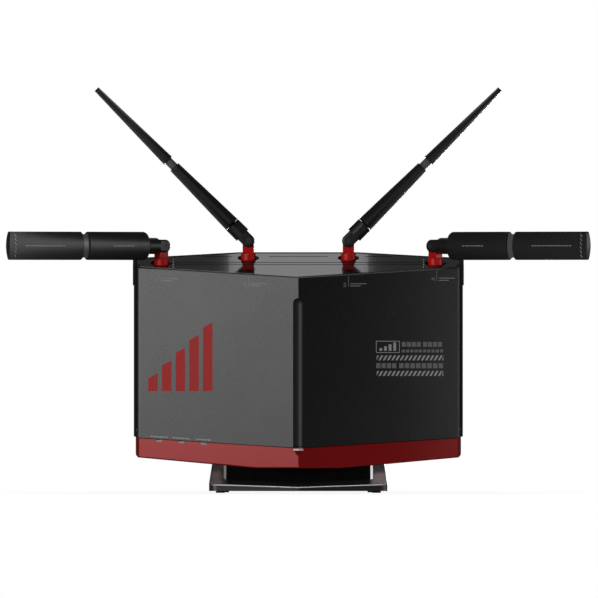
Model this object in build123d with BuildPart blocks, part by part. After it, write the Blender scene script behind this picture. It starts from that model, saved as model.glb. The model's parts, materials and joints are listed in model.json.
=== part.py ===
from build123d import *
import os
from math import atan, atan2, degrees, hypot, pi, radians, tan

os.makedirs("parts", exist_ok=True)

# Driving dimensions in millimetres: X across, Y to the back, Z up from the floor
# Body plan: a front folded along a ridge, short sides, and a back tapering to a flat
body_depth = 75.0
housing_half = 149.1
fold_rake = 0.2067
side_depth = 26.8
back_flat_half = 54.0
wall = 2.4
fit_gap = 0.2
cover_corner_radius = 3.5
cover_edge = 0.6
cover_return = 8.0
housing_setback = 2.0
shoulder_proud = 0.9
shoulder_height = 17.0

# Heights: the top, the seam and the stand's deck all rise to the back at one slope
ridge_top = 194.9
seam_ridge = 40.4
rise = 0.304
seam_gap = 0.8
band_flat = 22.2
band_flat_depth = 10.0
band_rake = 0.438
band_inset = 1.7
band_setback = 0.6
band_edge_round = 1.2
band_corner_width = 3.2
band_corner_depth = 6.0

# Groove along the ridge and the lights
groove_radius = 5.0
groove_set_forward = 0.5
groove_top = 176.4
spine_half = 8.5
spine_depth = 7.5
power_light_height = 2.1
run_out_height = 4.7
run_out_radius = 1.6
light_ledge = 0.8
status_inset = 23.2
status_pitch = 20.05
status_count = 3
status_width = 5.4
status_height = 2.0
status_fit = 0.1
status_round = 0.9
status_pipe = 3.4
light_board_height = 8.0
light_board_thick = 1.2
light_board_margin = 5.0

# Top panel, its slits and the antenna seats
panel_thick = 3.0
panel_gap = 0.5
ledge_width = 2.0
ledge_height = 2.0
slit_width = 1.5
slit_end_gap = 12.2
slit_places = (1.2, 7.6)
rear_slit_place = 25.5
rear_slit_inner = 27.0
rear_slit_outer = (60.0, 85.0)
pocket_radius = 9.75
pocket_lip = 0.3
seat_wall = 1.6
seat_floor = 3.0
outer_antenna_inset = 24.9
outer_antenna_y = 6.0
antenna_pitch = 78.8
inner_antenna_inset = 16.3
rest_heading_angles = (-135.0, 180.0, 0.0, -45.0)
rest_fold_angles = (90.0, 45.0, 45.0, 90.0)
rest_twist_angles = (90.0, 0.0, 0.0, 90.0)

# Antenna, measured from its elbow pivot
running_fit = 0.05
seat_gap = 0.15
pivot_height = 18.7
collar_radius = 6.7
collar_height = 7.8
collar_round = 1.4
stem_radius = 4.5
snap_lip = 1.0
snap_height = 1.8
snap_slot = 1.2
lead_bore = 1.3
tongue_width = 10.3
tongue_thick = 7.5
cheek_gap = 0.15
cheek_thick = 3.3
knuckle_radius = 5.8
knuckle_round = 2.2
swing_gap = 0.4
sleeve_radius = 7.4
sleeve_start = 7.4
blade_start = 20.8
twist_gap = 0.3
spigot_radius = 4.0
spigot_length = 10.0
bead_height = 0.6
bead_length = 1.6
pin_radius = 1.5
pin_fit = 0.02
rivet_radius = 2.4
rivet_height = 0.25
blade_width = 25.6
blade_edge = 3.0
lower_length = 74.0
waist_length = 8.0
waist_width = 21.4
waist_thick = 7.6
upper_length = 91.9
root_thick = 14.4
middle_thick = 10.2
tip_thick = 5.0
shoulder_round = 3.6
waist_round = 2.0
tip_crown = 1.6

# Board, ports and controls behind the flat back
board_edge = 1.2
board_bottom = 70.0
board_top_drop = 8.9
board_thick = 1.6
jack_depth = 17.6
jack_reveal = 0.3
port_gap = 0.3
port_row = 84.0
control_row = 108.0
jack_pitch = 16.0
jack_height = 13.6
lan_count = 4
lan_centre = 3.0
plug_width = 11.7
plug_height = 7.0
plug_depth = 12.5
latch_width = 4.2
latch_height = 2.6
internet_place = -41.0
usb_place = -38.0
usb_width = 14.4
usb_height = 7.0
usb_wall = 0.7
usb_tongue = 1.8
usb_depth = 12.0
power_inlet_place = 45.5
power_inlet_width = 9.0
power_inlet_height = 11.0
power_inlet_radius = 2.75
power_inlet_pin = 1.05
power_inlet_depth = 9.0
button_gap = 0.2
button_flange = 1.2
button_flange_thick = 1.5
button_proud = 1.4
button_throw = 1.5
power_button_place = 43.0
power_button_size = 8.0
pairing_place = 18.0
pairing_radius = 4.0
reset_place = 31.0
reset_radius = 1.2
reset_sunk = 1.6
mode_place = -10.0
mode_knob = 4.0
mode_height = 3.2
mode_throw = 6.0
mode_proud = 1.2
switch_size = 6.0
switch_gap = 0.5

# Cooling and shielding on the board's front
can_width = 42.0
can_height = 34.0
can_depth = 3.0
can_pitch = 50.0
can_row = 132.0
sink_width = 120.0
sink_height = 84.0
sink_base = 2.5
fin_count = 13
fin_thick = 1.4
fin_depth = 8.0
vent_width = 3.0
vent_count = 11
vent_pitch = 8.0
vent_low = 122.0
vent_high = 174.0
wing_vent_count = 7
wing_vent_inset = 63.1

# Fasteners
screw_radius = 1.5
screw_fit = 0.02
screw_clearance = 0.2
head_radius = 2.8
head_height = 1.8
boss_radius = 3.8
housing_screw_inset = 29.1
housing_screw_rows = (86.0, 150.0)
housing_joint_y = 8.0
housing_screw_seat = 4.0
housing_screw_bite = 9.0
board_screw_inset = 9.0
board_screw_edge = 6.0
board_screw_bite = 7.0
stand_screw_half = 50.0
stand_screw_middle = 5.0
stand_screw_pitch = 26.0
stand_boss_radius = 4.8
stand_screw_bite = 7.0
stand_screw_seat = 6.0

# Antenna leads inside
lead_radius = 0.9
lead_gap = 0.4
lead_drop = 4.5
lead_clearance = 2.5
lead_run = 14.0
lead_stand_off = 4.0
lead_bend_share = 0.45
outer_plug_inset = 6.1
inner_plug_shift = 9.4
lead_plug_width = 3.6
lead_plug_height = 4.5

# Stand
foot_height = 1.7
foot_radius = 4.0
foot_inset = 10.5
foot_recess = 0.6
deck_front_reach = 45.0
deck_back = 48.0
deck_half = 81.2
deck_rake = 0.106
deck_taper = 0.0455
deck_lip = 5.2
deck_corner_radius = 8.0
deck_edge = 1.4
stand_rib = 1.6
stand_rib_pitch = 40.0
stand_rib_count = 3
foot_pad = 1.2
riser_half = 67.5
riser_front_reach = 22.0
riser_back = 30.0
riser_bevel = 2.2
riser_rib_places = (-39.0, -8.7, 8.7, 39.0)
riser_rib_width = 1.2
riser_rib_depth = 0.8

# Worked-out places
ridge_y = -body_depth / 2
back_y = body_depth / 2
cover_half = housing_half - wall - fit_gap
corner_y = ridge_y + fold_rake * housing_half
return_y = corner_y + cover_return
housing_front = corner_y + housing_setback
back_corner_y = corner_y + side_depth
side_turn = atan2(housing_half - back_flat_half, back_y - back_corner_y)
band_rake_start = ridge_y + band_flat_depth
column_height = 2 * ridge_top
slope_length = hypot(1, rise)
fold_slant = hypot(1, fold_rake)
board_back = back_y - jack_reveal - jack_depth
board_front = board_back - board_thick
board_top = ridge_top - board_top_drop
board_screw_rows = (board_bottom + board_screw_edge, board_top - board_screw_edge)
back_inside = back_y - wall
sleeve_length = blade_start - sleeve_start
lower_end = blade_start + lower_length
upper_start = lower_end + waist_length
blade_end = upper_start + upper_length
knuckle_half = tongue_thick / 2 + cheek_gap + cheek_thick
outer_antenna_x = housing_half - outer_antenna_inset
inner_antenna_x = outer_antenna_x - antenna_pitch
inner_antenna_y = back_y - inner_antenna_inset
antenna_places = (
    (-outer_antenna_x, outer_antenna_y),
    (-inner_antenna_x, inner_antenna_y),
    (inner_antenna_x, inner_antenna_y),
    (outer_antenna_x, outer_antenna_y),
)
slit_half_length = outer_antenna_x - slit_end_gap
status_places = [status_inset - housing_half + status_pitch * n for n in range(status_count)]
housing_screw_place = housing_half - housing_screw_inset
wing_vent_place = housing_half - wing_vent_inset
stand_screw_rows = (
    stand_screw_middle - stand_screw_pitch / 2,
    stand_screw_middle + stand_screw_pitch / 2,
)
deck_front = -deck_front_reach
riser_front = -riser_front_reach


def front_points(half, inset, back):
    """The folded front, set back by inset, with straight sides and a straight back edge."""
    apex = ridge_y + inset * fold_slant
    wing = half - inset
    corner = apex + fold_rake * wing
    return [(0, apex), (wing, corner), (wing, back), (-wing, back), (-wing, corner)]


def back_points(inset):
    """The right-hand back corners of the housing, set in by inset, from side to flat."""
    side = (housing_half - inset, back_corner_y - inset * tan(side_turn / 2))
    flat = (back_flat_half - inset * tan((pi / 2 - side_turn) / 2), back_y - inset)
    return [side, flat]


def mirrored(points):
    """The same points on the left-hand side, in reverse order."""
    return [(-x, y) for x, y in reversed(points)]


def housing_points(inset, front):
    """The housing's sides and back, set in by inset, closed by a straight front edge."""
    right = [(housing_half - inset, front)] + back_points(inset)
    return right + mirrored(right)


def band_points(inset):
    """The six-sided outline of the foot band, set in by inset."""
    apex = ridge_y + (band_setback + inset) * fold_slant
    wing = housing_half - band_inset - inset
    right = [(wing, apex + fold_rake * wing)] + back_points(band_inset + inset)
    return [(0, apex)] + right + mirrored(right)


def outline(*shapes):
    """One flat outline at floor level: the first shape's points joined with the others'."""
    with BuildSketch() as drawn:
        for points in shapes:
            Polygon(*points)
    return drawn.sketch


def sloped_plane(height, slope, from_y):
    """A plane at height over from_y that rises to the back by slope."""
    return Plane(origin=(0, from_y, height), x_dir=(1, 0, 0), z_dir=(0, -slope, 1))


def top_plane(drop):
    """A plane parallel to the top, lower by drop."""
    return sloped_plane(ridge_top - drop, rise, ridge_y)


def seam_plane(lift):
    """A plane parallel to the seam over the foot band, higher by lift."""
    return sloped_plane(seam_ridge + lift, rise, ridge_y)


def under_planes(lift):
    """The band's underside: level at the front, then rising to the back."""
    level = Plane.XY.offset(band_flat + lift)
    return [level, sloped_plane(band_flat + lift, band_rake, band_rake_start)]


def upright_plane(y):
    """An upright plane across the object at y, facing the front."""
    return Plane(origin=(0, y, 0), x_dir=(1, 0, 0), z_dir=(0, -1, 0))


def top_z(y):
    """Height of the top at depth y."""
    return ridge_top + rise * (y - ridge_y)


def under_z(y):
    """Height of the band's rising underside at depth y."""
    return band_flat + band_rake * (y - band_rake_start)


def deck_z(y):
    """Height of the stand's deck at depth y."""
    return deck_lip + rise * (y - deck_front)


def slant_y(x):
    """Depth of the tapering back at x."""
    side, flat = back_points(0)
    return flat[1] - (x - flat[0]) / tan(side_turn)


def wall_x(y):
    """Distance from the middle to the tapering back's inner face at depth y."""
    side, flat = back_points(wall)
    return flat[0] + (flat[1] - y) * tan(side_turn)


def column(drawn, low, high):
    """The upright column of an outline between the low planes and the high plane."""
    with BuildPart() as upright:
        add(drawn)
        extrude(amount=column_height)
        for plane in low:
            split(bisect_by=plane, keep=Keep.TOP)
        split(bisect_by=high, keep=Keep.BOTTOM)
    return upright.part


def save(builder, name):
    """Labels a finished piece and writes it."""
    builder.part.label = name
    export_step(builder.part, f"parts/{name}.step")


def ring(outer, inner, low, high):
    """The column of an outer outline with the column of an inner one taken out."""
    with BuildSketch() as drawn:
        add(outer)
        add(inner, mode=Mode.SUBTRACT)
    return column(drawn.sketch, [low], high)


# Antenna plugs stand in from the tapering walls, and the board reaches just past them
lead_y = board_back + lead_stand_off
outer_plug_x = wall_x(lead_y + lead_plug_width / 2) - outer_plug_inset
inner_plug_x = inner_antenna_x - inner_plug_shift
lead_plug_places = (-outer_plug_x, -inner_plug_x, inner_plug_x, outer_plug_x)
board_half = outer_plug_x + lead_plug_width / 2 + board_edge
board_screw_place = board_half - board_screw_inset

# Front cover: a folded shell with rounded upright corners, a ledge for the top and a spine
with BuildSketch() as cover_plan:
    Polygon(*front_points(cover_half, 0, return_y))
    fillet(cover_plan.vertices().group_by(Axis.X)[0].sort_by(Axis.Y)[0], cover_corner_radius)
    fillet(cover_plan.vertices().group_by(Axis.X)[-1].sort_by(Axis.Y)[0], cover_corner_radius)
cover_inside = outline(front_points(cover_half, wall, return_y + wall))
cover_shell = ring(cover_plan.sketch, cover_inside, seam_plane(seam_gap / 2), top_plane(0))
ledge_outer = outline(front_points(cover_half, wall / 2, return_y))
ledge_inner = outline(front_points(cover_half, wall + ledge_width, return_y + wall))
cover_ledge = ring(
    ledge_outer, ledge_inner, top_plane(panel_thick + ledge_height), top_plane(panel_thick)
)
spine_back = ridge_y + spine_depth
spine_apex = ridge_y + wall / 2
spine_corner = spine_apex + fold_rake * spine_half
spine_plan = outline(
    [
        (0, spine_apex),
        (spine_half, spine_corner),
        (spine_half, spine_back),
        (-spine_half, spine_back),
        (-spine_half, spine_corner),
    ]
)
cover_spine = column(spine_plan, [seam_plane(seam_gap / 2)], top_plane(panel_thick))
groove_y = ridge_y - groove_set_forward
groove_end = groove_top - groove_radius

with BuildPart() as front_cover:
    add(cover_shell)
    top_rim = front_cover.faces().filter_by(lambda face: face.normal_at().Z > 0.5).edges()
    chamfer(top_rim.sort_by(Axis.Y)[:2], cover_edge)
    add(cover_ledge)
    add(cover_spine)
    with BuildSketch():
        with Locations((0, groove_y)):
            Circle(groove_radius)
    extrude(amount=groove_end, mode=Mode.SUBTRACT)
    with Locations((0, groove_y, groove_end)):
        Sphere(groove_radius, mode=Mode.SUBTRACT)
    for side in (-1, 1):
        for row in housing_screw_rows:
            place = side * housing_screw_place
            inside_y = ridge_y + fold_rake * (housing_screw_place + boss_radius) + wall / 2
            with BuildSketch(upright_plane(housing_joint_y)):
                with Locations((place, row)):
                    Circle(boss_radius)
            extrude(amount=housing_joint_y - inside_y)
            with BuildSketch(upright_plane(housing_joint_y)):
                with Locations((place, row)):
                    Circle(screw_radius + screw_fit)
            extrude(amount=housing_screw_bite, mode=Mode.SUBTRACT)
save(front_cover, "front_cover")

# Rear housing: an open-fronted shell with a raised shoulder, vents, port openings and posts
housing_shell = ring(
    outline(housing_points(0, housing_front)),
    outline(housing_points(wall, housing_front - wall)),
    seam_plane(seam_gap / 2),
    top_plane(0),
)
housing_shoulder = ring(
    outline(housing_points(-shoulder_proud, housing_front)),
    outline(housing_points(wall / 2, housing_front - wall)),
    top_plane(shoulder_height),
    top_plane(0),
)
housing_ledge = ring(
    outline(housing_points(wall / 2, return_y + panel_gap)),
    outline(housing_points(wall + ledge_width, return_y - wall)),
    top_plane(panel_thick + ledge_height),
    top_plane(panel_thick),
)
button_hole = power_button_size + 2 * button_gap
mode_slot = mode_knob + mode_throw + 2 * button_gap

with BuildPart() as rear_housing:
    add(housing_shell)
    add(housing_shoulder)
    add(housing_ledge)
    for side in (-1, 1):
        post_end = slant_y(housing_screw_place + boss_radius) - wall / 2
        for row in housing_screw_rows:
            with BuildSketch(upright_plane(housing_joint_y)):
                with Locations((side * housing_screw_place, row)):
                    Circle(boss_radius)
            extrude(amount=housing_joint_y - post_end)
        post_end = slant_y(board_screw_place + boss_radius) - wall / 2
        for row in board_screw_rows:
            with BuildSketch(upright_plane(board_back)):
                with Locations((side * board_screw_place, row)):
                    Circle(boss_radius)
            extrude(amount=board_back - post_end)
    for side in (-1, 1):
        for row in housing_screw_rows:
            with BuildSketch(upright_plane(housing_joint_y)):
                with Locations((side * housing_screw_place, row)):
                    Circle(screw_radius + screw_clearance)
            extrude(amount=-body_depth, mode=Mode.SUBTRACT)
            with BuildSketch(upright_plane(housing_joint_y + housing_screw_seat)):
                with Locations((side * housing_screw_place, row)):
                    Circle(head_radius + screw_clearance)
            extrude(amount=-body_depth, mode=Mode.SUBTRACT)
        for row in board_screw_rows:
            with BuildSketch(upright_plane(board_back)):
                with Locations((side * board_screw_place, row)):
                    Circle(screw_radius + screw_fit)
            extrude(amount=-board_screw_bite, mode=Mode.SUBTRACT)
    with BuildSketch(upright_plane(back_inside - wall / 2)):
        with Locations((lan_centre, port_row)):
            Rectangle(lan_count * jack_pitch + 2 * port_gap, jack_height + 2 * port_gap)
        with Locations((internet_place, port_row)):
            Rectangle(jack_pitch + 2 * port_gap, jack_height + 2 * port_gap)
        with Locations((usb_place, control_row)):
            Rectangle(usb_width + 2 * port_gap, usb_height + 2 * port_gap)
        with Locations((power_inlet_place, port_row)):
            Rectangle(power_inlet_width + 2 * port_gap, power_inlet_height + 2 * port_gap)
        with Locations((power_button_place, control_row)):
            Rectangle(button_hole, button_hole)
        with Locations((pairing_place, control_row)):
            Circle(pairing_radius + button_gap)
        with Locations((reset_place, control_row)):
            Circle(reset_radius + button_gap)
        with Locations((mode_place, control_row)):
            Rectangle(mode_slot, mode_height + 2 * button_gap)
        with Locations((0, (vent_low + vent_high) / 2)):
            with GridLocations(vent_pitch, 0, vent_count, 1):
                SlotOverall(vent_high - vent_low, vent_width, rotation=90)
    extrude(amount=-2 * wall, mode=Mode.SUBTRACT)
    for side in (-1, 1):
        with BuildSketch(upright_plane(board_back)):
            with Locations((side * wing_vent_place, (vent_low + vent_high) / 2)):
                with GridLocations(vent_pitch, 0, wing_vent_count, 1):
                    SlotOverall(vent_high - vent_low, vent_width, rotation=90)
        extrude(amount=-body_depth, mode=Mode.SUBTRACT)
save(rear_housing, "rear_housing")

# Foot band: a shallow folded tray with faceted corners, light notches and the groove's run-out
band_bottom = under_planes(0)
band_solid = column(outline(band_points(0)), band_bottom, seam_plane(-seam_gap / 2))


def corner_cuts(inset):
    """What the facets take off the band's front corners, on its outline set in by inset."""
    wing, corner = band_points(inset)[1]
    turn = wing - band_corner_width
    front = corner - fold_rake * band_corner_width
    side = corner + band_corner_depth
    clear = front - band_corner_depth
    right = [(turn, front), (turn, clear), (wing + wall, clear), (wing + wall, side), (wing, side)]
    return outline(right, mirrored(right))


with BuildSketch() as band_inside:
    Polygon(*band_points(wall))
    add(corner_cuts(wall), mode=Mode.SUBTRACT)
band_hollow = column(band_inside.sketch, under_planes(wall), seam_plane(seam_ridge))
band_spine_apex = ridge_y + band_setback + wall / 2
band_spine_corner = band_spine_apex + fold_rake * spine_half
band_spine_plan = outline(
    [
        (0, band_spine_apex),
        (spine_half, band_spine_corner),
        (spine_half, spine_back),
        (-spine_half, spine_back),
        (-spine_half, band_spine_corner),
    ]
)
band_spine = column(band_spine_plan, [under_planes(wall / 2)[0]], seam_plane(-seam_gap / 2))
stand_screw_places = [
    (side * stand_screw_half, y) for side in (-1, 1) for y in stand_screw_rows
]


def band_boss(place):
    """A screw boss that stands on the band's rising floor."""
    with BuildSketch() as round_boss:
        with Locations(place):
            Circle(boss_radius)
    high = Plane.XY.offset(under_z(place[1]) + wall + stand_screw_bite)
    return column(round_boss.sketch, [under_planes(wall / 2)[1]], high)


band_bosses = [band_boss(place) for place in stand_screw_places]
light_foot = seam_ridge - power_light_height
left_face = Plane(
    origin=(0, ridge_y + band_setback * fold_slant, 0),
    x_dir=(1, -fold_rake, 0),
    z_dir=(-fold_rake, -1, 0),
)
seam_tilt = -degrees(atan(rise * fold_rake / fold_slant))


def on_left_face(x):
    """Distance along the left face and seam height on it, at x."""
    y = ridge_y - fold_rake * x
    return x * fold_slant, seam_ridge + rise * (y - ridge_y) - seam_gap / 2


with BuildPart() as base_band:
    add(band_solid)
    underside = base_band.faces().filter_by(lambda face: face.normal_at().Z < -0.5)
    fillet(underside.edges().filter_by(Axis.X, reverse=True), band_edge_round)
    with BuildSketch():
        add(corner_cuts(0))
    extrude(amount=column_height, mode=Mode.SUBTRACT)
    add(band_hollow, mode=Mode.SUBTRACT)
    add(band_spine)
    with BuildSketch(Plane.XY.offset(light_foot)):
        with Locations((0, groove_y)):
            Circle(groove_radius)
    extrude(amount=seam_ridge, mode=Mode.SUBTRACT)
    with BuildSketch(Plane.XY.offset(light_foot - run_out_height)):
        with Locations((0, groove_y)):
            Circle(run_out_radius)
    with BuildSketch(Plane.XY.offset(light_foot)):
        with Locations((0, groove_y)):
            Circle(groove_radius - light_ledge)
    loft(mode=Mode.SUBTRACT)
    for x in status_places:
        along, seam = on_left_face(x)
        with BuildSketch(left_face) as notch:
            with Locations((along, seam)):
                Rectangle(status_width, 2 * status_height, rotation=seam_tilt)
            fillet(notch.vertices().sort_by(Axis.Y)[:2], status_round)
        extrude(amount=-2 * wall, both=True, mode=Mode.SUBTRACT)
    for boss in band_bosses:
        add(boss)
    with BuildSketch():
        with Locations(*stand_screw_places):
            Circle(screw_radius + screw_fit)
    extrude(amount=column_height, mode=Mode.SUBTRACT)
save(base_band, "base_band")

# Light bar at the foot of the groove, flush with the folded front
with BuildPart() as power_light:
    with BuildSketch(Plane.XY.offset(light_foot)):
        with Locations((0, groove_y)):
            Circle(groove_radius - status_fit)
        Polygon(*band_points(0), mode=Mode.INTERSECT)
    extrude(amount=power_light_height - seam_gap / 2)
save(power_light, "power_light")

# Status windows: three clear pipes from the notches back to a small board
with BuildPart() as status_lenses:
    for x in status_places:
        along, seam = on_left_face(x)
        with BuildSketch(left_face) as window:
            with Locations((along, seam - status_height / 2)):
                Rectangle(
                    status_width - 2 * status_fit,
                    status_height - 2 * status_fit,
                    rotation=seam_tilt,
                )
            fillet(window.vertices().sort_by(Axis.Y)[:2], status_round - status_fit)
        extrude(amount=-wall - status_pipe)
save(status_lenses, "status_lenses")

with BuildPart() as light_board:
    along, seam = on_left_face((status_places[0] + status_places[-1]) / 2)
    span = (status_places[-1] - status_places[0]) * fold_slant
    with BuildSketch(left_face.offset(-wall - status_pipe)):
        with Locations((along, seam - status_height / 2)):
            Rectangle(span + 2 * light_board_margin, light_board_height, rotation=seam_tilt)
    extrude(amount=-light_board_thick)
save(light_board, "light_board")

# Top panel: an inset plate with vent slits and four round antenna seats with level floors
panel_plate = column(
    outline(
        front_points(cover_half, wall + panel_gap, return_y + ledge_width),
        housing_points(wall + panel_gap, return_y + panel_gap),
    ),
    [top_plane(panel_thick)],
    top_plane(0),
)


def pocket_floor(y):
    """Height of a seat's level floor, just under the panel at the front of its pocket."""
    return top_z(y - pocket_radius) - pocket_lip


def seat_column(place):
    """The round cup under the panel that carries one antenna."""
    with BuildSketch() as cup:
        with Locations(place):
            Circle(pocket_radius + seat_wall)
    low = Plane.XY.offset(pocket_floor(place[1]) - seat_floor)
    return column(cup.sketch, [low], top_plane(0))


seats = [seat_column(place) for place in antenna_places]
rear_slit_middle = sum(rear_slit_outer) / 2
rear_slit_length = rear_slit_outer[1] - rear_slit_outer[0]

with BuildPart() as top_panel:
    add(panel_plate)
    with BuildSketch(top_plane(0)):
        for y in slit_places:
            with Locations((0, (y - ridge_y) * slope_length)):
                SlotOverall(2 * slit_half_length, slit_width)
        rear_along = (rear_slit_place - ridge_y) * slope_length
        with Locations((0, rear_along)):
            SlotOverall(2 * rear_slit_inner, slit_width)
        with Locations((-rear_slit_middle, rear_along), (rear_slit_middle, rear_along)):
            SlotOverall(rear_slit_length, slit_width)
    extrude(amount=-2 * panel_thick, mode=Mode.SUBTRACT)
    for seat in seats:
        add(seat)
    for x, y in antenna_places:
        with BuildSketch(Plane.XY.offset(pocket_floor(y))):
            with Locations((x, y)):
                Circle(pocket_radius)
        extrude(amount=ridge_top, mode=Mode.SUBTRACT)
        with BuildSketch(Plane.XY.offset(pocket_floor(y))):
            with Locations((x, y)):
                Circle(stem_radius + running_fit)
        extrude(amount=-2 * seat_floor, mode=Mode.SUBTRACT)
save(top_panel, "top_panel")

# Stand: a wedge deck with a folded front lip, and a riser up to the foot band
deck_corner = deck_front + deck_rake * deck_half
deck_back_half = deck_half - deck_taper * (deck_back - deck_corner)
deck_right = [(deck_half, deck_corner), (deck_back_half, deck_back)]
foot_places = [
    (side * (half - foot_inset), y)
    for side in (-1, 1)
    for half, y in (
        (deck_half, deck_corner + foot_inset),
        (deck_back_half, deck_back - foot_inset),
    )
]
deck_plane = sloped_plane(deck_lip, rise, deck_front)
with BuildSketch() as deck_plan:
    Polygon((0, deck_front), *deck_right, *mirrored(deck_right))
    fillet(deck_plan.vertices().filter_by(lambda v: abs(v.X) > deck_half / 2), deck_corner_radius)
deck_wedge = column(deck_plan.sketch, [Plane.XY.offset(foot_height)], deck_plane)
deck_under = sloped_plane(deck_lip - wall * slope_length, rise, deck_front)
with BuildSketch() as deck_inside:
    add(deck_plan.sketch)
    offset(amount=-wall)


def hollow(core, bosses, boss_size):
    """The hollow of a stand piece: its core without the ribs and the round bosses."""
    with BuildPart() as space:
        add(core)
        with BuildSketch():
            with GridLocations(stand_rib_pitch, 0, stand_rib_count, 1):
                Rectangle(stand_rib, column_height)
            with Locations((0, stand_screw_middle)):
                Rectangle(column_height, stand_rib)
            with Locations(*bosses):
                Circle(boss_size)
        extrude(amount=column_height, mode=Mode.SUBTRACT)
    return space.part


deck_core = column(deck_inside.sketch, [], deck_under)
deck_bosses = [*stand_screw_places, *foot_places]
deck_hollow = hollow(deck_core, deck_bosses, max(stand_boss_radius, foot_radius + foot_pad))

with BuildPart() as stand_deck:
    add(deck_wedge)
    fillet(stand_deck.faces().filter_by(lambda face: face.normal_at().Z > 0.5).edges(), deck_edge)
    add(deck_hollow, mode=Mode.SUBTRACT)
    for x, y in stand_screw_places:
        with BuildSketch(Plane.XY):
            with Locations((x, y)):
                Circle(screw_radius + screw_clearance)
        extrude(amount=column_height, mode=Mode.SUBTRACT)
        with BuildSketch(Plane.XY):
            with Locations((x, y)):
                Circle(head_radius + screw_clearance)
        extrude(amount=deck_z(y) - stand_screw_seat, mode=Mode.SUBTRACT)
    with BuildSketch(Plane.XY):
        with Locations(*foot_places):
            Circle(foot_radius + fit_gap)
    extrude(amount=foot_height + foot_recess, mode=Mode.SUBTRACT)
save(stand_deck, "stand_deck")

with BuildPart() as rubber_feet:
    with BuildSketch(Plane.XY):
        with Locations(*foot_places):
            Circle(foot_radius)
    extrude(amount=foot_height + foot_recess)
save(rubber_feet, "rubber_feet")



def riser_points(inset):
    """The riser's four corners, set in by inset."""
    right = [(riser_half - inset, riser_front + inset), (riser_half - inset, riser_back - inset)]
    return right + mirrored(right)


riser_block = column(outline(riser_points(0)), [deck_plane], under_planes(0)[1])
riser_core = column(outline(riser_points(wall)), [deck_plane], under_planes(-wall)[1])
riser_hollow = hollow(riser_core, stand_screw_places, boss_radius)
with BuildPart() as stand_riser:
    add(riser_block)
    chamfer(stand_riser.edges().filter_by(Axis.Z), riser_bevel)
    add(riser_hollow, mode=Mode.SUBTRACT)
    for x in riser_rib_places:
        with BuildSketch(Plane.XY):
            with Locations((x, riser_front)):
                Rectangle(riser_rib_width, 2 * riser_rib_depth)
        extrude(amount=column_height, mode=Mode.SUBTRACT)
    for x, y in stand_screw_places:
        with BuildSketch(Plane.XY):
            with Locations((x, y)):
                Circle(screw_radius + screw_clearance)
        extrude(amount=column_height, mode=Mode.SUBTRACT)
save(stand_riser, "stand_riser")

# Main board and what sits on it
board_screw_places = [
    (side * board_screw_place, row) for side in (-1, 1) for row in board_screw_rows
]
with BuildPart() as main_board:
    with BuildSketch(upright_plane(board_back)):
        with Locations((0, (board_bottom + board_top) / 2)):
            Rectangle(2 * board_half, board_top - board_bottom)
        with Locations(*board_screw_places):
            Circle(screw_radius + screw_clearance, mode=Mode.SUBTRACT)
    extrude(amount=board_thick)
save(main_board, "main_board")

with BuildPart() as shield_cans:
    with BuildSketch(upright_plane(board_front)):
        with Locations((0, can_row)):
            with GridLocations(can_pitch, 0, 2, 1):
                RectangleRounded(can_width, can_height, can_depth / 2)
    extrude(amount=can_depth)
save(shield_cans, "shield_cans")

with BuildPart() as heat_sink:
    with BuildSketch(upright_plane(board_front - can_depth)):
        with Locations((0, can_row)):
            Rectangle(sink_width, sink_height)
    extrude(amount=sink_base)
    with BuildSketch(upright_plane(board_front - can_depth - sink_base)):
        with Locations((0, can_row)):
            with GridLocations((sink_width - fin_thick) / (fin_count - 1), 0, fin_count, 1):
                Rectangle(fin_thick, sink_height)
    extrude(amount=fin_depth)
save(heat_sink, "heat_sink")

# Ports: each a block from the board to just inside the housing's back face
port_face = upright_plane(back_y - jack_reveal)


def jack_block(places):
    """Plug sockets side by side in one moulded block, each with a latch notch below."""
    with BuildPart() as block:
        with BuildSketch(port_face):
            with Locations(*places):
                Rectangle(jack_pitch, jack_height)
        extrude(amount=jack_depth)
        with BuildSketch(port_face):
            with Locations(*places):
                Rectangle(plug_width, plug_height)
            with Locations(*[(x, z - (plug_height + latch_height) / 2) for x, z in places]):
                Rectangle(latch_width, latch_height)
        extrude(amount=plug_depth, mode=Mode.SUBTRACT)
    return block


lan_start = lan_centre - jack_pitch * (lan_count - 1) / 2
save(jack_block([(lan_start + jack_pitch * n, port_row) for n in range(lan_count)]), "lan_jacks")
save(jack_block([(internet_place, port_row)]), "internet_jack")

with BuildPart() as usb_port:
    with BuildSketch(port_face):
        with Locations((usb_place, control_row)):
            Rectangle(usb_width, usb_height)
    extrude(amount=jack_depth)
    with BuildSketch(port_face):
        with Locations((usb_place, control_row)):
            Rectangle(usb_width - 2 * usb_wall, usb_height - 2 * usb_wall)
        with Locations((usb_place, control_row + usb_tongue / 2)):
            Rectangle(usb_width - 4 * usb_wall, usb_tongue, mode=Mode.SUBTRACT)
    extrude(amount=usb_depth, mode=Mode.SUBTRACT)
save(usb_port, "usb_port")

with BuildPart() as dc_jack:
    with BuildSketch(port_face):
        with Locations((power_inlet_place, port_row)):
            Rectangle(power_inlet_width, power_inlet_height)
    extrude(amount=jack_depth)
    with BuildSketch(port_face):
        with Locations((power_inlet_place, port_row)):
            Circle(power_inlet_radius)
            Circle(power_inlet_pin, mode=Mode.SUBTRACT)
    extrude(amount=power_inlet_depth, mode=Mode.SUBTRACT)
save(dc_jack, "dc_jack")

# Controls: push buttons with a flange behind the wall, and a slide switch
flange_back = back_inside - button_gap
flange_front = flange_back - button_flange_thick
switch_top = flange_front - button_throw - switch_gap


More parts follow.
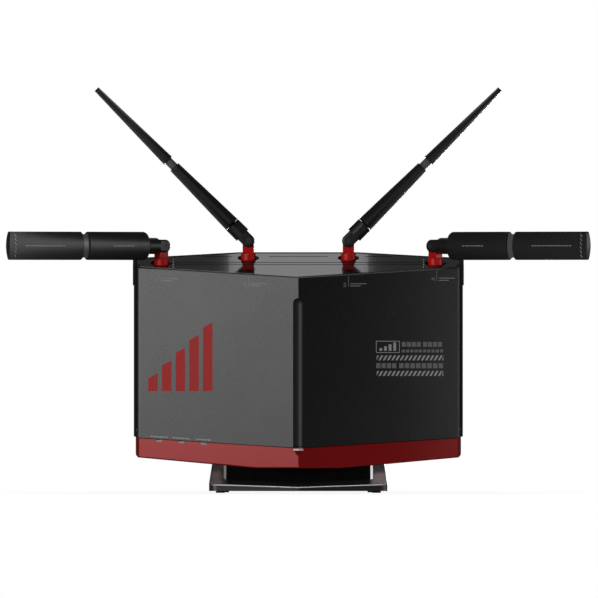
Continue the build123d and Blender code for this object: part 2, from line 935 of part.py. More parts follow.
def push_button(place, face_y, shape):
    """A button from its outer face to its flange, drawn by shape with a margin round it."""
    with BuildPart() as button:
        with BuildSketch(upright_plane(face_y)):
            with Locations((place, control_row)):
                shape(0)
        extrude(amount=face_y - flange_front)
        with BuildSketch(upright_plane(flange_back)):
            with Locations((place, control_row)):
                shape(button_flange)
        extrude(amount=button_flange_thick)
    return button


def power_shape(margin):
    """The square power button's outline."""
    side = power_button_size + 2 * margin
    return Rectangle(side, side)


def pairing_shape(margin):
    """The round pairing button's outline."""
    return Circle(pairing_radius + margin)


def reset_shape(margin):
    """The small sunk reset button's outline."""
    return Circle(reset_radius + margin)


button_face = back_y + button_proud
save(push_button(power_button_place, button_face, power_shape), "power_button")
save(push_button(pairing_place, button_face, pairing_shape), "pairing_button")
save(push_button(reset_place, back_y - reset_sunk, reset_shape), "reset_button")

with BuildPart() as mode_switch:
    with BuildSketch(upright_plane(back_y + mode_proud)):
        with Locations((mode_place, control_row)):
            Rectangle(mode_knob, mode_height)
    extrude(amount=back_y + mode_proud - flange_front)
    with BuildSketch(upright_plane(flange_back)):
        with Locations((mode_place, control_row)):
            Rectangle(mode_slot + mode_throw, mode_height + 2 * button_flange)
    extrude(amount=button_flange_thick)
save(mode_switch, "mode_switch")

with BuildPart() as button_switches:
    with BuildSketch(upright_plane(board_back)):
        for place in (power_button_place, pairing_place, reset_place, mode_place):
            with Locations((place, control_row)):
                Rectangle(switch_size, switch_size)
    extrude(amount=board_back - switch_top)
save(button_switches, "button_switches")


# Screws: a pan head below the seat and a plain shank above it
def screw(shank):
    """One screw that points up, with its seat at the origin."""
    with BuildPart() as pointing_up:
        Cylinder(screw_radius, shank, align=(Align.CENTER, Align.CENTER, Align.MIN))
        Cylinder(head_radius, head_height, align=(Align.CENTER, Align.CENTER, Align.MAX))
    return pointing_up.part


housing_screw = screw(housing_screw_seat + housing_screw_bite - screw_clearance)
with BuildPart() as housing_screws:
    for side in (-1, 1):
        for row in housing_screw_rows:
            seat = (side * housing_screw_place, housing_joint_y + housing_screw_seat, row)
            with Locations(Location(seat, (90, 0, 0))):
                add(housing_screw)
save(housing_screws, "housing_screws")

board_screw = screw(board_thick + board_screw_bite - screw_clearance)
with BuildPart() as board_screws:
    for x, row in board_screw_places:
        with Locations(Location((x, board_front, row), (-90, 0, 0))):
            add(board_screw)
save(board_screws, "board_screws")

stand_screw_lengths = {
    y: under_z(y) + wall + stand_screw_bite - screw_clearance - deck_z(y) + stand_screw_seat
    for y in stand_screw_rows
}
stand_screw_kinds = {y: screw(length) for y, length in stand_screw_lengths.items()}
with BuildPart() as stand_screws:
    for x, y in stand_screw_places:
        with Locations((x, y, deck_z(y) - stand_screw_seat)):
            add(stand_screw_kinds[y])
save(stand_screws, "stand_screws")

# Leads from the antenna seats down to plugs on the board's back
stem_foot = seat_floor + seat_gap + snap_height
over_board = board_top + lead_clearance


def bend_radius(before, at, after):
    """The largest arc at a corner that leaves both runs some straight length."""
    first = Vector(*at) - Vector(*before)
    second = Vector(*after) - Vector(*at)
    shorter = min(first.length, second.length)
    return lead_bend_share * shorter / tan(radians(first.get_angle(second)) / 2)


def lead_route(place, plug_x):
    """Points of one lead, from its antenna seat over the board's top edge to its plug."""
    x, y = place
    start = pocket_floor(y) - stem_foot - lead_gap
    return [
        (x, y, start),
        (x, y, start - lead_drop),
        (plug_x, lead_y, over_board),
        (plug_x, lead_y, over_board - lead_run),
    ]


routes = [lead_route(*pair) for pair in zip(antenna_places, lead_plug_places)]
with BuildPart() as antenna_leads:
    for route in routes:
        bends = [bend_radius(*route[n : n + 3]) for n in range(len(route) - 2)]
        with BuildLine() as path:
            FilletPolyline(*route, radius=bends)
        with BuildSketch(Plane(origin=route[0], z_dir=(0, 0, -1))):
            Circle(lead_radius)
        sweep(path=path.line)
save(antenna_leads, "antenna_leads")

with BuildPart() as coax_plugs:
    for route in routes:
        plug_x, plug_y, plug_top = route[-1]
        with BuildSketch(upright_plane(board_back)):
            with Locations((plug_x, plug_top - lead_plug_height / 2)):
                Rectangle(lead_plug_width, lead_plug_height)
        extrude(amount=board_back - plug_y - lead_plug_width / 2)
save(coax_plugs, "coax_plugs")

# Antenna pieces, each drawn upright with the elbow pivot at the origin and its pin along Y
floor_level = -pivot_height
collar_foot = floor_level + seat_gap
collar_top = collar_foot + collar_height
lip_top = floor_level - seat_floor - seat_gap
lip_foot = lip_top - snap_height
bore_top = collar_foot + collar_height / 2
tongue_round = tongue_width / 2

with BuildPart() as swivel:
    with BuildSketch(Plane.XZ):
        Polygon(
            (lead_bore, lip_foot),
            (stem_radius, lip_foot),
            (stem_radius + snap_lip, lip_top),
            (stem_radius, lip_top),
            (stem_radius, collar_foot),
            (collar_radius, collar_foot),
            (collar_radius, collar_top),
            (0, collar_top),
            (0, bore_top),
            (lead_bore, bore_top),
        )
    revolve(axis=Axis.Z)
    rims = swivel.edges().filter_by(GeomType.CIRCLE)
    fillet(rims.filter_by(lambda rim: abs(rim.radius - collar_radius) < seat_gap), collar_round)
    with BuildSketch(Plane.XZ):
        Circle(tongue_round)
        with Locations((0, (collar_top - collar_round) / 2)):
            Rectangle(tongue_width, collar_round - collar_top)
    extrude(amount=tongue_thick / 2, both=True)
    with BuildSketch(Plane.XZ):
        Circle(pin_radius + running_fit)
    extrude(amount=tongue_thick, both=True, mode=Mode.SUBTRACT)
    with BuildSketch(Plane.XY.offset(lip_foot)):
        Rectangle(3 * stem_radius, snap_slot)
    extrude(amount=seat_floor, mode=Mode.SUBTRACT)

slot_top = tongue_round + swing_gap
spigot_foot = blade_start - spigot_length
bead_low = spigot_foot + bead_length / 2
bead_high = bead_low + bead_length

with BuildPart() as elbow:
    with BuildSketch(Plane.XZ):
        Circle(knuckle_radius)
        with Locations((0, sleeve_start / 2)):
            Rectangle(2 * knuckle_radius, sleeve_start)
    extrude(amount=knuckle_half, both=True)
    fillet(elbow.edges().filter_by(GeomType.CIRCLE), knuckle_round)
    with BuildSketch(Plane.XY.offset(sleeve_start)):
        Circle(sleeve_radius)
    extrude(amount=sleeve_length)
    sleeve_rims = elbow.edges().filter_by(GeomType.CIRCLE).group_by(Axis.Z)
    chamfer(sleeve_rims[-1], twist_gap)
    with BuildSketch(Plane.XZ):
        with Locations((0, (slot_top - knuckle_radius - swing_gap) / 2)):
            Rectangle(3 * knuckle_radius, slot_top + knuckle_radius + swing_gap)
    extrude(amount=tongue_thick / 2 + cheek_gap, both=True, mode=Mode.SUBTRACT)
    with BuildSketch(Plane.XZ):
        Polygon(
            (0, spigot_foot - twist_gap),
            (spigot_radius + running_fit, spigot_foot - twist_gap),
            (spigot_radius + running_fit, bead_low - seat_gap),
            (spigot_radius + bead_height + running_fit, bead_low - seat_gap),
            (spigot_radius + bead_height + running_fit, bead_high + seat_gap),
            (spigot_radius + running_fit, bead_high + seat_gap),
            (spigot_radius + running_fit, blade_start),
            (0, blade_start),
        )
    revolve(axis=Axis.Z, mode=Mode.SUBTRACT)
    with BuildSketch(Plane.XZ):
        Circle(pin_radius + pin_fit)
    extrude(amount=2 * knuckle_half, both=True, mode=Mode.SUBTRACT)

with BuildPart() as hinge_pin:
    with BuildSketch(Plane.XZ):
        Circle(pin_radius)
    extrude(amount=knuckle_half, both=True)
    for side in (-1, 1):
        with BuildSketch(Plane.XZ.offset(side * knuckle_half)):
            Circle(rivet_radius)
        extrude(amount=side * rivet_height)
    chamfer(hinge_pin.edges().filter_by(GeomType.CIRCLE).group_by(Axis.Y)[0], rivet_height / 2)
    chamfer(hinge_pin.edges().filter_by(GeomType.CIRCLE).group_by(Axis.Y)[-1], rivet_height / 2)


def blade_section(height, width, thick):
    """A blade's section at a height: two crowned faces that end in narrow flat edges."""
    half, edge, crown = width / 2, blade_edge / 2, thick / 2
    with BuildSketch(Plane.XY.offset(height)) as section:
        with BuildLine():
            ThreePointArc((edge, -half), (crown, 0), (edge, half))
            Line((edge, half), (-edge, half))
            ThreePointArc((-edge, half), (-crown, 0), (-edge, -half))
            Line((-edge, -half), (edge, -half))
        make_face()
    return section.sketch


blade_foot = blade_start + twist_gap
foot_section = blade_section(blade_foot, blade_width, root_thick)
middle_section = blade_section(lower_end, blade_width, middle_thick)
waist_section = blade_section(lower_end, waist_width, waist_thick)
upper_section = blade_section(upper_start, blade_width, middle_thick)
tip_section = blade_section(blade_end, blade_width, tip_thick)
half_blade = blade_width / 2

with BuildPart() as lower_blade:
    add(foot_section)
    add(middle_section)
    loft()
    with BuildSketch(Plane.YZ) as lower_face:
        with Locations((0, (blade_foot + lower_end) / 2)):
            Rectangle(blade_width, lower_end - blade_foot)
        fillet(lower_face.vertices().group_by(Axis.Y)[0], shoulder_round)
        fillet(lower_face.vertices().group_by(Axis.Y)[-1], waist_round)
    extrude(amount=root_thick, both=True, mode=Mode.INTERSECT)
    with BuildSketch(Plane.XZ):
        Polygon(
            (0, spigot_foot),
            (spigot_radius, spigot_foot),
            (spigot_radius, bead_low),
            (spigot_radius + bead_height, bead_low),
            (spigot_radius + bead_height, bead_high),
            (spigot_radius, bead_high),
            (spigot_radius, blade_foot + shoulder_round),
            (0, blade_foot + shoulder_round),
        )
    revolve(axis=Axis.Z)

with BuildPart() as waist_ring:
    add(waist_section)
    extrude(amount=waist_length)

with BuildPart() as upper_blade:
    add(upper_section)
    add(tip_section)
    loft()
    with BuildSketch(Plane.YZ) as upper_face:
        with BuildLine():
            Polyline(
                (-half_blade, blade_end - tip_crown),
                (-half_blade, upper_start),
                (half_blade, upper_start),
                (half_blade, blade_end - tip_crown),
            )
            ThreePointArc(
                (half_blade, blade_end - tip_crown),
                (0, blade_end),
                (-half_blade, blade_end - tip_crown),
            )
        make_face()
        fillet(upper_face.vertices().group_by(Axis.Y)[0], waist_round)
        fillet(upper_face.vertices().group_by(Axis.Y)[-1], tip_crown)
    extrude(amount=root_thick, both=True, mode=Mode.INTERSECT)

# Four antennas, left to right, each turned, folded and twisted to its rest pose
antenna_names = ("outer_left", "inner_left", "inner_right", "outer_right")
for name, (x, y), heading, fold, twist in zip(
    antenna_names, antenna_places, rest_heading_angles, rest_fold_angles, rest_twist_angles
):
    turned = Pos(x, y, pocket_floor(y) + pivot_height) * Rot(0, 0, heading)
    folded = turned * Rot(0, fold, 0)
    twisted = folded * Rot(0, 0, twist)
    for place, piece, piece_name in (
        (turned, swivel, "swivel"),
        (folded, elbow, "elbow"),
        (folded, hinge_pin, "hinge_pin"),
        (twisted, lower_blade, "lower_blade"),
        (twisted, waist_ring, "waist_ring"),
        (twisted, upper_blade, "upper_blade"),
    ):
        with BuildPart() as placed:
            with Locations(place):
                add(piece.part)
        save(placed, f"{name}_{piece_name}")
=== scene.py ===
"""Finishes a packed wireless router: materials, printed marks, socket contacts and a studio."""

import json

import bpy
import numpy as np
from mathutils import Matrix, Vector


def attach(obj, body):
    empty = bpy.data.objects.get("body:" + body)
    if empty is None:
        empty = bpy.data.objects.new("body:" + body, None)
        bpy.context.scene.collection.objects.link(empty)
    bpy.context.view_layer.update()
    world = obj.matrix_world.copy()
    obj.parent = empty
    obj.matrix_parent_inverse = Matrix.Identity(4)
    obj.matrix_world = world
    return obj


bl_info = {
    "name": "Wireless router finish",
    "version": (1, 0, 0),
    "blender": (4, 5, 0),
    "location": "View3D > Sidebar > Router",
    "description": "Materials, printed marks and a studio for a folded wireless router",
    "category": "Object",
}

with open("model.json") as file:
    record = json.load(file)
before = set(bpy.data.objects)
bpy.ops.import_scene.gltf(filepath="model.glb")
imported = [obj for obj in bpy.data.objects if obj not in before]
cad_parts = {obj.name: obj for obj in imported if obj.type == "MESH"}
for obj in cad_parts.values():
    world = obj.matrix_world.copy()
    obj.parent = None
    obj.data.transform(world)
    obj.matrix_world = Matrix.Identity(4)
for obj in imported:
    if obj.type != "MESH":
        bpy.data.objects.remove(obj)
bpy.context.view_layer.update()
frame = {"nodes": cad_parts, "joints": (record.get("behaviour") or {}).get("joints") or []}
MM = 0.001
AXIS_X, AXIS_Y, AXIS_Z = range(3)
SIDES = ("outer_left", "inner_left", "inner_right", "outer_right")

# A colour Mix node keeps its colour sockets after its number and vector ones.
MIX_SHARE, MIX_FIRST, MIX_SECOND, MIX_RESULT = 0, 6, 7, 2


# Shader expressions
class Field:
    """A shader value: an expression on fields adds the Math nodes that work it out."""

    def __init__(self, finish, socket):
        self.finish = finish
        self.socket = socket

    def math(self, operation, *values):
        """One Math node on this field and the values."""
        inputs = dict(enumerate((self, *values)))
        return self.finish.node("ShaderNodeMath", {"operation": operation}, inputs)

    def __add__(self, value):
        return self.math("ADD", value)

    def __sub__(self, value):
        return self.math("SUBTRACT", value)

    def __mul__(self, value):
        return self.math("MULTIPLY", value)


class Finish:
    """A procedural material: one Principled shader and the nodes that feed it."""

    def __init__(self, name, **constants):
        self.material = bpy.data.materials.new(name)
        self.material.use_nodes = True
        self.tree = self.material.node_tree
        self.shader = self.tree.nodes["Principled BSDF"]
        for socket, value in constants.items():
            self.shader.inputs[self.title(socket)].default_value = value

    def node(self, kind, settings=None, inputs=None, out=0):
        """Adds a node of a kind, with its settings and its sockets' values or links."""
        made = self.tree.nodes.new(kind)
        for name, value in (settings or {}).items():
            setattr(made, name, value)
        for key, value in (inputs or {}).items():
            self.feed(made.inputs[key], value)
        return Field(self, made.outputs[out])

    def feed(self, socket, value):
        """Links a field to a socket, or sets a plain value on it."""
        if isinstance(value, Field):
            self.tree.links.new(value.socket, socket)
        else:
            socket.default_value = value

    def set(self, **fields):
        """Feeds fields to the shader's own sockets, named in lower case."""
        for socket, value in fields.items():
            self.feed(self.shader.inputs[self.title(socket)], value)

    @staticmethod
    def title(socket):
        """A socket's own name from its name in lower case."""
        return socket.replace("_", " ").title().replace("Ior", "IOR")

    def place(self):
        """The surface point in the object's own metres."""
        return self.node("ShaderNodeTexCoord", out="Object")

    def part(self, vector, axis):
        """One coordinate of a vector."""
        return self.node("ShaderNodeSeparateXYZ", {}, {0: vector}, axis)

    def noise(self, scale, detail=2.0, roughness=0.5, stretch=(1.0, 1.0, 1.0)):
        """Cloudy values from 0 to 1, with about scale blobs to the metre, stretched by axis."""
        spread = self.node("ShaderNodeMapping", {}, {"Vector": self.place(), "Scale": stretch})
        values = {"Vector": spread, "Scale": scale, "Detail": detail, "Roughness": roughness}
        return self.node("ShaderNodeTexNoise", {}, values)

    def ramp(self, value, low, high):
        """A value carried smoothly from 0 at low to 1 at high."""
        settings = {"interpolation_type": "SMOOTHSTEP"}
        inputs = {"Value": value, "From Min": low, "From Max": high}
        return self.node("ShaderNodeMapRange", settings, inputs)

    def blend(self, share, first, second):
        """A colour from the first to the second by a share."""
        inputs = {MIX_SHARE: share, MIX_FIRST: first, MIX_SECOND: second}
        return self.node("ShaderNodeMix", {"data_type": "RGBA"}, inputs, MIX_RESULT)

    def toned(self, share, colour, low, high):
        """A colour times low to the same colour times high, by a share."""
        return self.blend(share, shade(colour, low), shade(colour, high))

    def bump(self, height, strength, distance):
        """A normal that follows a height field, in metres of depth."""
        inputs = {"Height": height, "Strength": strength, "Distance": distance}
        self.set(normal=self.node("ShaderNodeBump", {}, inputs))


def shade(colour, amount):
    """A colour made lighter or darker by a factor."""
    return (*(channel * amount for channel in colour[:3]), 1.0)


# Sizes and colours that a user would change
class RouterColours(bpy.types.PropertyGroup):
    """Base colours of the router's finishes."""

    charcoal: bpy.props.FloatVectorProperty(
        name="Front", description="Satin front cover", subtype="COLOR", size=4,
        default=(0.0036, 0.0036, 0.0037, 1.0),
    )
    housing: bpy.props.FloatVectorProperty(
        name="Housing", description="Rear housing", subtype="COLOR", size=4,
        default=(0.0105, 0.0105, 0.0107, 1.0),
    )
    gloss_black: bpy.props.FloatVectorProperty(
        name="Top", description="Glossy top panel", subtype="COLOR", size=4,
        default=(0.006, 0.006, 0.0065, 1.0),
    )
    stand: bpy.props.FloatVectorProperty(
        name="Stand", description="Stand deck and riser", subtype="COLOR", size=4,
        default=(0.006, 0.006, 0.006, 1.0),
    )
    red: bpy.props.FloatVectorProperty(
        name="Red", description="Foot band and antenna bases", subtype="COLOR", size=4,
        default=(0.20, 0.0032, 0.0028, 1.0),
    )
    antenna: bpy.props.FloatVectorProperty(
        name="Antennas", description="Blades and elbows", subtype="COLOR", size=4,
        default=(0.008, 0.008, 0.0082, 1.0),
    )
    emblem: bpy.props.FloatVectorProperty(
        name="Emblem", description="Printed bars on the front", subtype="COLOR", size=4,
        default=(0.36, 0.014, 0.014, 1.0),
    )
    print_grey: bpy.props.FloatVectorProperty(
        name="Print", description="Small grey marks", subtype="COLOR", size=4,
        default=(0.24, 0.24, 0.24, 1.0),
    )
    lens: bpy.props.FloatVectorProperty(
        name="Lenses", description="Milky light windows", subtype="COLOR", size=4,
        default=(0.42, 0.43, 0.40, 1.0),
    )


class RouterSizes(bpy.types.PropertyGroup):
    """Sizes of the printed marks and the studio."""

    print_lift: bpy.props.FloatProperty(
        name="Print lift", description="How far a printed mark stands proud",
        default=0.06 * MM, unit="LENGTH", precision=5,
    )
    print_sink: bpy.props.FloatProperty(
        name="Print depth", description="How far a printed mark is let into its surface",
        default=0.10 * MM, unit="LENGTH", precision=5,
    )
    camera_distance: bpy.props.FloatProperty(
        name="Camera distance", description="From the camera to the body's middle",
        default=25.0, unit="LENGTH",
    )
    view_width: bpy.props.FloatProperty(
        name="View width", description="Width of the picture at the body",
        default=0.5420, unit="LENGTH",
    )
    view_height: bpy.props.FloatProperty(
        name="View height", description="Height of the camera over the desk",
        default=0.1755, unit="LENGTH",
    )


def colours():
    """The scene's router colours."""
    return bpy.context.scene.router_colours


def sizes():
    """The scene's router sizes."""
    return bpy.context.scene.router_sizes


# Mesh helpers
def make_piece(name, points, faces, finish, body):
    """A mesh piece from point and face arrays, riding on a body."""
    mesh = bpy.data.meshes.new(name)
    mesh.from_pydata(points.reshape(-1, 3).tolist(), [], faces.tolist())
    mesh.validate()
    mesh.materials.append(finish.material)
    piece = bpy.data.objects.new(name, mesh)
    bpy.context.scene.collection.objects.link(piece)
    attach(piece, body)


def patch_grid(corners, rows, columns):
    """Four-cornered patches as grids: each point is the corners' mean, weighed by its place."""
    u = np.linspace(0, 1, rows)[:, None, None]
    v = np.linspace(0, 1, columns)[None, :, None]
    a, b, c, d = (corners[:, n, None, None, :] for n in range(4))
    return (1 - u) * (1 - v) * a + u * (1 - v) * b + u * v * c + (1 - u) * v * d


def closed_faces(count, rows, columns):
    """Quads of closed thin plates: an upper grid, a lower grid and the wall round them."""
    step = rows * columns
    index = np.arange(step).reshape(rows, columns)
    low = index + step
    upper = np.stack([index[:-1, :-1], index[1:, :-1], index[1:, 1:], index[:-1, 1:]], -1)
    lower = np.stack([low[:-1, :-1], low[:-1, 1:], low[1:, 1:], low[1:, :-1]], -1)
    rim = np.concatenate(
        [index[:, 0], index[-1, 1:], index[-2::-1, -1], index[0, -2:0:-1]]
    )
    after = np.roll(rim, -1)
    wall = np.stack([rim, rim + step, after + step, after], -1)
    one = np.concatenate([upper.reshape(-1, 4), lower.reshape(-1, 4), wall])
    return (one[None] + 2 * step * np.arange(count)[:, None, None]).reshape(-1, 4)


def plates(name, corners, surface, finish, body, grid=(2, 2)):
    """Thin closed plates on a surface: corners are quads in its two coordinates."""
    flat = patch_grid(np.asarray(corners, float), *grid)
    upper = surface(flat, sizes().print_lift)
    lower = surface(flat, -sizes().print_sink)
    points = np.stack([upper, lower], 1)
    make_piece(name, points, closed_faces(len(flat), *grid), finish, body)


def boxes(centres, widths, heights, lean=0.0):
    """Upright quads by centre, width and height, their tops leaning sideways by lean."""
    centres = np.asarray(centres, float)
    half = np.stack(np.broadcast_arrays(widths, heights), -1) / 2 * np.ones((len(centres), 1))
    signs = np.array([(-1, -1), (1, -1), (1, 1), (-1, 1)])
    quads = centres[:, None, :] + signs[None] * half[:, None, :]
    quads[:, 2:, 0] += lean
    return quads


def block_row(left, middle, width, height, pitch, count):
    """A row of plain blocks from a left edge, at one height."""
    places = left + width / 2 + pitch * np.arange(count)
    return boxes(np.stack([places, np.full(count, middle)], -1), width, height)


# Surfaces that the marks lie on: depth gained per metre from the ridge, height gained per
# metre of depth, and the places of the ridge, its two ends and the flat back
FOLD = 0.2067
TOP_RISE = 0.304
FOLD_SLANT, TOP_SLANT = np.hypot(1, FOLD), np.hypot(1, TOP_RISE)
RIDGE, REAR_FACE = -37.5 * MM, 37.5 * MM
RIDGE_TOP, RIDGE_SEAM = 194.9 * MM, 40.4 * MM


def front_surface(flat, lift):
    """The folded front: depth grows with the distance from the ridge; lift goes out along
    the face's own normal."""
    x, z = flat[..., 0], flat[..., 1]
    side = np.sign(x)
    y = RIDGE + FOLD * np.abs(x)
    return np.stack([x + side * FOLD * lift / FOLD_SLANT, y - lift / FOLD_SLANT, z], -1)


def edge_height(at_ridge, x):
    """Height at x of an edge of the front: it rises to the back, and so to both sides."""
    return at_ridge + TOP_RISE * FOLD * np.abs(x)


def top_surface(flat, lift):
    """The sloped top: height grows with the depth behind the ridge; lift goes up along its
    normal."""
    x, y = flat[..., 0], flat[..., 1]
    z = RIDGE_TOP + TOP_RISE * (y - RIDGE)
    return np.stack([x, y - TOP_RISE * lift / TOP_SLANT, z + lift / TOP_SLANT], -1)


def rear_surface(flat, lift):
    """The flat back, seen from behind with x to the left."""
    x, z = flat[..., 0], flat[..., 1]
    return np.stack([-x, np.full_like(x, REAR_FACE) + lift, z], -1)


def front_print(name, quads, ink):
    """Printed marks on the front cover."""
    plates(name, quads, front_surface, ink, "body")


# Plain numbers as strokes between two points of a unit box: x, y, x, y
DIGIT_STROKES = {
    1: ((0.5, 0.0, 0.5, 1.0),),
    2: ((0.0, 1.0, 1.0, 1.0), (1.0, 0.5, 1.0, 1.0), (0.0, 0.5, 1.0, 0.5), (0.0, 0.0, 0.0, 0.5),
        (0.0, 0.0, 1.0, 0.0)),
    3: ((0.0, 1.0, 1.0, 1.0), (1.0, 0.0, 1.0, 1.0), (0.0, 0.5, 1.0, 0.5), (0.0, 0.0, 1.0, 0.0)),
    4: ((0.0, 0.5, 0.0, 1.0), (0.0, 0.5, 1.0, 0.5), (1.0, 0.0, 1.0, 1.0)),
}


def digit_quads(number, corner, width, height, stroke):
    """A plain number as straight strokes, from its lower left corner."""
    lines = np.array(DIGIT_STROKES[number]) * [width, height, width, height]
    low = np.minimum(lines[:, :2], lines[:, 2:]) - stroke / 2
    high = np.maximum(lines[:, :2], lines[:, 2:]) + stroke / 2
    centres = (low + high) / 2 + corner
    return boxes(centres, (high - low)[:, 0], (high - low)[:, 1])


# Finishes
def moulded(name, colour, roughness, grain, depth, matt=None, **constants):
    """Moulded plastic: fine spark-eroded grain, with faint cloudy changes of tone and gloss, and
    rougher where the function matt gives a share above 0."""
    cloud_scale, gloss_change, matt_change, grain_strength = 14.0, 0.06, 0.26, 0.35
    finish = Finish(name, **constants)
    cloud = finish.noise(cloud_scale, detail=3.0)
    fine = finish.noise(grain, roughness=0.6)
    gloss = cloud * gloss_change + fine * gloss_change + (roughness - gloss_change)
    if matt:
        gloss = gloss + matt(finish) * matt_change
    tone = finish.toned(cloud * 0.5 + fine * 0.5, colour, 0.82, 1.18)
    finish.set(base_color=tone, roughness=gloss)
    finish.bump(fine, grain_strength, depth)
    return finish


def lacquered(name, colour, roughness, edge=None, **constants):
    """High-gloss plastic: a faint long ripple, hairline wipe marks and a little dust, and a
    painted
    highlight: edges made light grey and metallic where the surface leans by between two amounts
    to an axis."""
    ripple_scale, wipe_scale, dust_scale = 60.0, 240.0, 900.0
    wipe_stretch, highlight_grey, soft = (0.08, 1.0, 1.0), (0.55, 0.55, 0.56, 1.0), 0.1
    finish = Finish(name, **constants)
    ripple = finish.noise(ripple_scale, detail=1.0)
    streaks = finish.noise(wipe_scale, roughness=0.6, stretch=wipe_stretch)
    wipes = finish.ramp(streaks, 0.60, 0.75)
    dust = finish.ramp(finish.noise(dust_scale, detail=1.0), 0.72, 0.80)
    tone = finish.blend(dust * 0.5, colour, shade(colour, 1.6))
    # Painted highlight: a light grey metallic band on the fillets and chamfers picked by their
    # lean, standing in for highlight lines along the edges
    if edge:
        axis, low, high = edge
        normal = finish.node("ShaderNodeNewGeometry", out="Normal")
        lean = finish.part(normal, axis).math("ABSOLUTE")
        cut = finish.ramp(lean, low, low + soft) * finish.ramp(lean, high, high - soft)
        tone = finish.blend(cut, tone, highlight_grey)
        finish.set(metallic=cut)
    gloss = wipes * 0.05 + dust * 0.15 + ripple * 0.03 + roughness
    finish.set(base_color=tone, roughness=gloss)
    finish.bump(ripple, 0.10, 0.02 * MM)
    return finish


def metal(name, colour, roughness, stretch=(1.0, 1.0, 1.0)):
    """Metal with fine lines, drawn out along the axis whose stretch is small."""
    line_scale, gloss_change = 700.0, 0.16
    finish = Finish(name, metallic=1.0)
    lines = finish.noise(line_scale, roughness=0.6, stretch=stretch)
    tone = finish.toned(lines, colour, 0.8, 1.1)
    finish.set(base_color=tone, roughness=lines * gloss_change + roughness)
    finish.bump(lines, 0.2, 0.02 * MM)
    return finish


def printed(name, colour, **constants):
    """Screen-printed ink: satin, a little uneven."""
    patch_scale, roughness, gloss_change = 600.0, 0.32, 0.12
    finish = Finish(name, **constants)
    patch = finish.noise(patch_scale)
    tone = finish.toned(patch, colour, 0.88, 1.08)
    finish.set(base_color=tone, roughness=patch * gloss_change + roughness)
    return finish


def dress(finish, *names):
    """Gives CAD nodes a finish in place of their plain colour."""
    for name in names:
        node = frame["nodes"][name]
        node.data.materials.clear()
        node.data.materials.append(finish.material)


class ROUTER_OT_case(bpy.types.Operator):
    """Gives the case, the top, the foot band and the stand their finishes"""

    bl_idname = "router.case"
    bl_label = "Case finishes"

    def execute(self, context):
        tint = colours()
        grain, depth = 1500.0, 0.05 * MM
        # Normal leans that pick the deck's edge fillet and the riser's upright chamfers for a
        # painted highlight
        deck_highlight_edge, riser_highlight_edge = (AXIS_Z, 0.15, 0.90), (AXIS_X, 0.5, 0.9)
        rubber_black = (0.02, 0.02, 0.02, 1.0)
        front = moulded("charcoal_satin", tint.charcoal, 0.27, grain, depth, self.groove)
        housing = moulded(
            "housing_satin", tint.housing, 0.46, grain, depth, specular_ior_level=0.07
        )
        top = lacquered("top_gloss", tint.gloss_black, 0.10, coat_weight=0.4)
        red = lacquered("red_gloss", tint.red, 0.18, specular_ior_level=0.32, metallic=0.27)
        base = lacquered("base_red", shade(tint.red, 2.0), 0.30, specular_ior_level=0.15)
        deck = lacquered("stand_gloss", tint.stand, 0.32, deck_highlight_edge)
        # The riser is the stand's colour at a fifth: painted shade for its place under the body
        riser = lacquered(
            "riser_shaded_gloss", shade(tint.stand, 0.2), 0.42, riser_highlight_edge, specular_ior_level=0.04
        )
        rubber = moulded("foot_rubber", rubber_black, 0.75, 900.0, 0.1 * MM)
        dress(front, "front_cover")
        dress(housing, "rear_housing")
        dress(top, "top_panel")
        dress(red, "base_band")
        dress(base, *(f"{side}_swivel" for side in SIDES))
        dress(deck, "stand_deck")
        dress(riser, "stand_riser")
        dress(rubber, "rubber_feet")
        return {"FINISHED"}

    def groove(self, finish):
        """A share that is 1 in the groove, which lies deeper than the folded front."""
        place = finish.place()
        across, depth = (finish.part(place, axis) for axis in (AXIS_X, AXIS_Y))
        sunk = depth - across.math("ABSOLUTE") * FOLD - RIDGE
        return finish.ramp(sunk, 0.05 * MM, 0.4 * MM)


class ROUTER_OT_lights(bpy.types.Operator):
    """Gives the light bar and the status windows a milky finish"""

    bl_idname = "router.lights"
    bl_label = "Light windows"

    def execute(self, context):
        lens = colours().lens
        dress(self.milky("milky_lens", lens), "power_light")
        dress(self.milky("smoked_lens", shade(lens, 0.16)), "status_lenses")
        return {"FINISHED"}

    def milky(self, name, lens):
        """A cloudy window with a soft gloss."""
        finish = Finish(name, roughness=0.22, coat_weight=0.3)
        finish.set(base_color=finish.toned(finish.noise(500.0), lens, 0.92, 1.08))
        return finish


class ROUTER_OT_antennas(bpy.types.Operator):
    """Gives the antenna blades, elbows, waist rings and pins their finishes"""

    bl_idname = "router.antennas"
    bl_label = "Antenna finishes"

    def execute(self, context):
        tint, depth = colours().antenna, 0.006 * MM
        blade = moulded("antenna_matt", tint, 0.38, 1600.0, depth, specular_ior_level=0.35)
        # The waist rings are the blades' colour nine times lighter: a painted highlight for their
        # lit end faces
        ring = moulded("waist_satin", shade(tint, 9.0), 0.34, 1600.0, depth)
        pin = moulded("pin_black", shade(tint, 0.8), 0.5, 1200.0, depth)
        for side in SIDES:
            dress(blade, f"{side}_elbow", f"{side}_lower_blade", f"{side}_upper_blade")
            dress(ring, f"{side}_waist_ring")
            dress(pin, f"{side}_hinge_pin")
        return {"FINISHED"}


